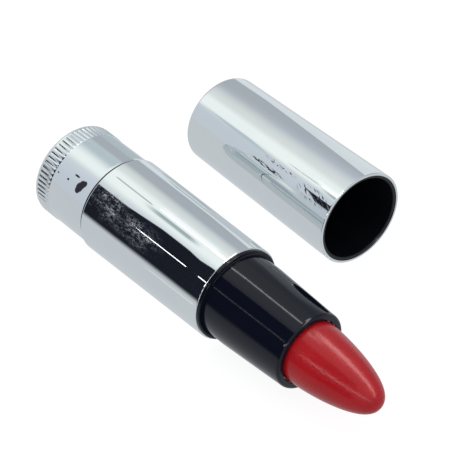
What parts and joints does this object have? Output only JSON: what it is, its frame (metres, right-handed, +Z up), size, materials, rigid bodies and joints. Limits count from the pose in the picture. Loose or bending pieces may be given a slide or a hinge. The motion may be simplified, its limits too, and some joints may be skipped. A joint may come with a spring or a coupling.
{
  "type": "lipstick case",
  "caption": "Uncapped twist-up lipstick case lying on its side, with ribbed turning knob, tapered neck, raised round-nosed bullet, and its cap beside it.",
  "frame": {"origin": "middle of the resting area's box, on the surface that the case and the cap lie on", "axes": "+X along the lying case towards the bullet's tip, +Y from the case towards the cap, +Z up"},
  "size_m": [0.0826, 0.0506, 0.0193],
  "materials": {
    "polished_chrome": "mirror-bright, with light handling wear",
    "gloss_black": "high gloss",
    "cap_black": "satin",
    "lipstick_wax": "waxy satin",
    "white_plastic": "satin",
    "grey_plastic": "satin",
    "brass": "drawn, satin",
    "aluminium": "drawn, satin",
    "steel": "turned",
    "rubber": "matt",
    "disc": "smooth, blank"
  },
  "bodies": {
    "case": {"body_shell": "polished_chrome", "body_liner": "white_plastic", "collar": "gloss_black", "neck": "gloss_black", "spiral_sleeve": "brass", "front_bush": "white_plastic", "rear_bush": "white_plastic"},
    "knob": {"knob_shell": "polished_chrome", "knob_insert": "grey_plastic", "base_weight": "steel", "shade_disc": "disc", "thrust_washer": "gloss_black", "friction_ring": "rubber", "retaining_ring": "steel", "slotted_tube": "aluminium"},
    "carrier": {"elevator": "white_plastic", "bullet_cup": "aluminium", "bullet": "lipstick_wax"},
    "cap": {"cap_shell": "polished_chrome", "cap_liner": "cap_black"}
  },
  "joints": [
    {"name": "knob_twist", "type": "hinge", "parent": "case", "child": "knob", "pos_m": [0.00493, -0.01564, 0.00925], "axis": [0.9999, 0, -0.0126], "range_deg": [-540, 0]},
    {"name": "bullet_rise", "type": "slide", "parent": "knob", "child": "carrier", "axis": [0.9999, 0, -0.0126], "range_m": [-0.0186, 0]},
    {"name": "cap_turn", "type": "hinge", "parent": "case", "child": "cap", "pos_m": [0.02377, -0.00066, 0], "axis": [0, 0, -1], "range_deg": [0, 177.9]}
  ],
  "couplings": [
    {"joint": "knob_twist", "follows": "bullet_rise", "rad_per_m": 506.71}
  ]
}
